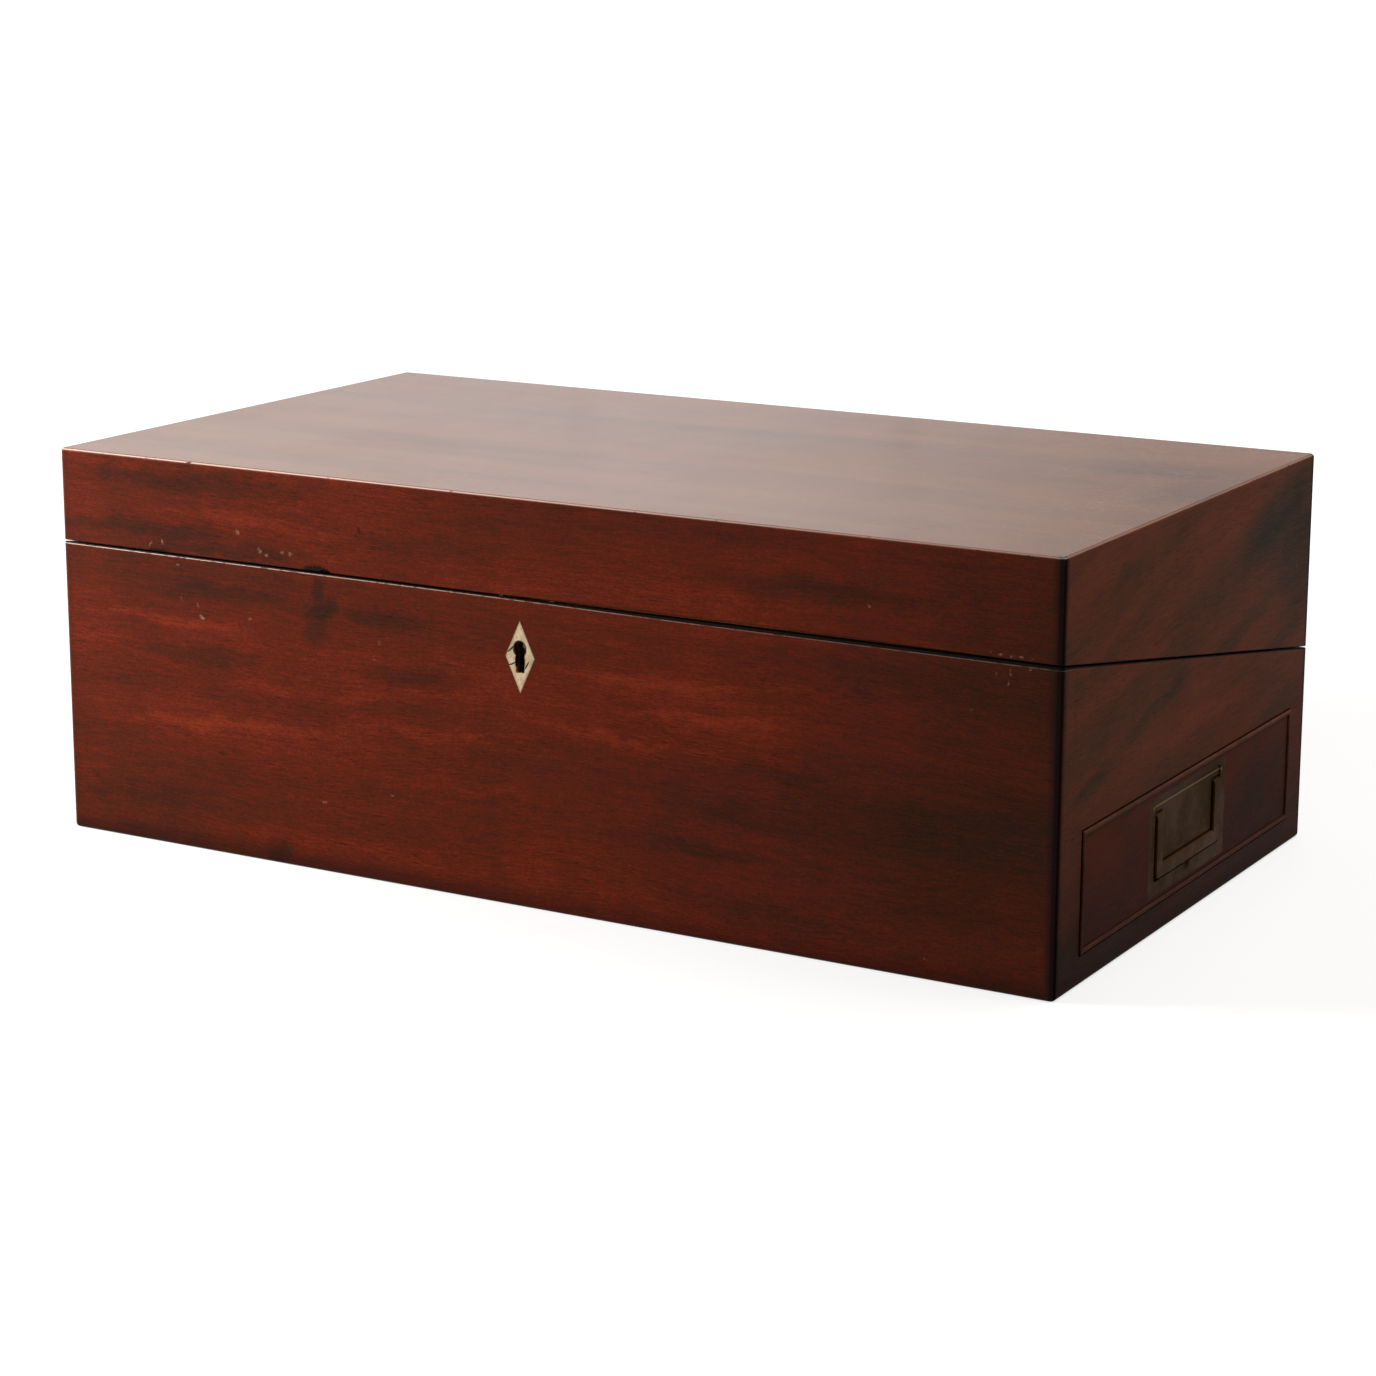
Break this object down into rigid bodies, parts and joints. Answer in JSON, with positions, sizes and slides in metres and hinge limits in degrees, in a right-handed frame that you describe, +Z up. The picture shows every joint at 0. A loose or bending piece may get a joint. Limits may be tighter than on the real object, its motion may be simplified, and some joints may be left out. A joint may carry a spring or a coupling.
{
  "type": "writing slope",
  "caption": "Hinged wooden box that opens into a sloping leather desk, with pen tray, inkwells, side drawer, flush drop handles and lock.",
  "frame": {"origin": "on the table under the middle of the closed box", "axes": "+X towards the drawer side, +Y towards the hinge side, -Y towards the lock side, +Z up"},
  "size_m": [0.5018, 0.2807, 0.18],
  "materials": {
    "polished_mahogany": "french polished, with dark wavy stripes and worn arrises",
    "inner_mahogany": "thin satin polish",
    "drawer_lining": "bare planed wood gone brown",
    "handle_brass": "old brass with a brown-green patina, brighter on the bail",
    "fitting_brass": "dull aged brass",
    "screw_brass": "dull aged brass",
    "pin_steel": "dull steel",
    "desk_leather": "dark green skiver with a fine grain",
    "ink_glass": "clear cut glass",
    "bone": "aged cream bone with fine dark cracks"
  },
  "bodies": {
    "base": {"back_wall": "polished_mahogany", "base_flap_ledges": "inner_mahogany", "base_hinge_leaves": "fitting_brass", "base_hinge_screws": "screw_brass", "base_short_screws": "screw_brass", "bay_dividers": "inner_mahogany", "bottom_board": "inner_mahogany", "drawer_deck": "inner_mahogany", "drawer_guide_back": "inner_mahogany", "drawer_guide_front": "inner_mahogany", "drawer_stop": "inner_mahogany", "escutcheon": "bone", "front_wall": "polished_mahogany", "inkwell_left": "ink_glass", "inkwell_right": "ink_glass", "left_handle_plate": "handle_brass", "left_wall": "polished_mahogany", "lock_case": "fitting_brass", "lock_key_pin": "pin_steel", "lock_plate": "fitting_brass", "main_hinge_pins": "pin_steel", "pen_partition": "inner_mahogany", "pen_tray": "inner_mahogany", "right_bottom_rail": "polished_mahogany", "right_wall": "polished_mahogany", "tray_bearers": "inner_mahogany", "upper_flap_pins": "pin_steel", "upper_flap_wall_leaves": "fitting_brass"},
    "lid": {"lid_back": "polished_mahogany", "lid_flap_ledges": "inner_mahogany", "lid_front": "polished_mahogany", "lid_hinge_leaves": "fitting_brass", "lid_left": "polished_mahogany", "lid_right": "polished_mahogany", "lid_screws": "screw_brass", "lid_top": "polished_mahogany", "link_plate": "fitting_brass", "lower_flap_pins": "pin_steel", "lower_flap_wall_leaves": "fitting_brass"},
    "upper_flap": {"upper_flap_board": "inner_mahogany", "upper_flap_leather": "desk_leather", "upper_flap_tab": "desk_leather", "upper_flap_hinge_leaves": "fitting_brass"},
    "lower_flap": {"lower_flap_board": "inner_mahogany", "lower_flap_leather": "desk_leather", "lower_flap_tab": "desk_leather", "lower_flap_hinge_leaves": "fitting_brass"},
    "drawer": {"drawer_front": "polished_mahogany", "drawer_bead": "polished_mahogany", "drawer_side_front": "drawer_lining", "drawer_side_back": "drawer_lining", "drawer_back": "drawer_lining", "drawer_bottom": "drawer_lining", "drawer_handle_plate": "handle_brass", "drawer_handle_screws": "screw_brass"},
    "drawer_handle": {"drawer_bail": "handle_brass"},
    "left_handle": {"left_bail": "handle_brass"},
    "lock_bolt": {"lock_bolt": "fitting_brass"},
    "ink_cap_left": {"ink_cap_left": "fitting_brass"},
    "ink_cap_right": {"ink_cap_right": "fitting_brass"}
  },
  "joints": [
    {"name": "lid_hinge", "type": "hinge", "parent": "base", "child": "lid", "pos_m": [0, 0.13915, 0.09], "axis": [-1, 0, 0], "range_deg": [0, 180]},
    {"name": "upper_flap_hinge", "type": "hinge", "parent": "base", "child": "upper_flap", "pos_m": [0, 0.1266, 0.09009], "axis": [-1, 0, 0], "range_deg": [0, 60]},
    {"name": "lower_flap_hinge", "type": "hinge", "parent": "lid", "child": "lower_flap", "pos_m": [0, 0.1266, 0.09415], "axis": [1, 0, 0], "range_deg": [0, 45]},
    {"name": "drawer_slide", "type": "slide", "parent": "base", "child": "drawer", "axis": [1, 0, 0], "range_m": [0, 0.4]},
    {"name": "drawer_handle_drop", "type": "hinge", "parent": "drawer", "child": "drawer_handle", "pos_m": [0.24865, -0.002, 0.051], "axis": [0, -1, 0], "range_deg": [0, 90]},
    {"name": "left_handle_drop", "type": "hinge", "parent": "base", "child": "left_handle", "pos_m": [-0.24865, -0.002, 0.051], "axis": [0, 1, 0], "range_deg": [0, 90]},
    {"name": "lock_bolt_slide", "type": "slide", "parent": "base", "child": "lock_bolt", "axis": [1, 0, 0], "range_m": [0, 0.0055]},
    {"name": "ink_cap_left_turn", "type": "hinge", "parent": "base", "child": "ink_cap_left", "pos_m": [-0.215, -0.102, 0.1115], "axis": [0, 0, 1], "continuous": true},
    {"name": "ink_cap_right_turn", "type": "hinge", "parent": "base", "child": "ink_cap_right", "pos_m": [0.215, -0.102, 0.1115], "axis": [0, 0, 1], "continuous": true}
  ],
  "couplings": [
    {"joint": "upper_flap_hinge", "follows": "lid_hinge", "ratio": 0.33333},
    {"joint": "lower_flap_hinge", "follows": "lid_hinge", "ratio": 0.25}
  ]
}
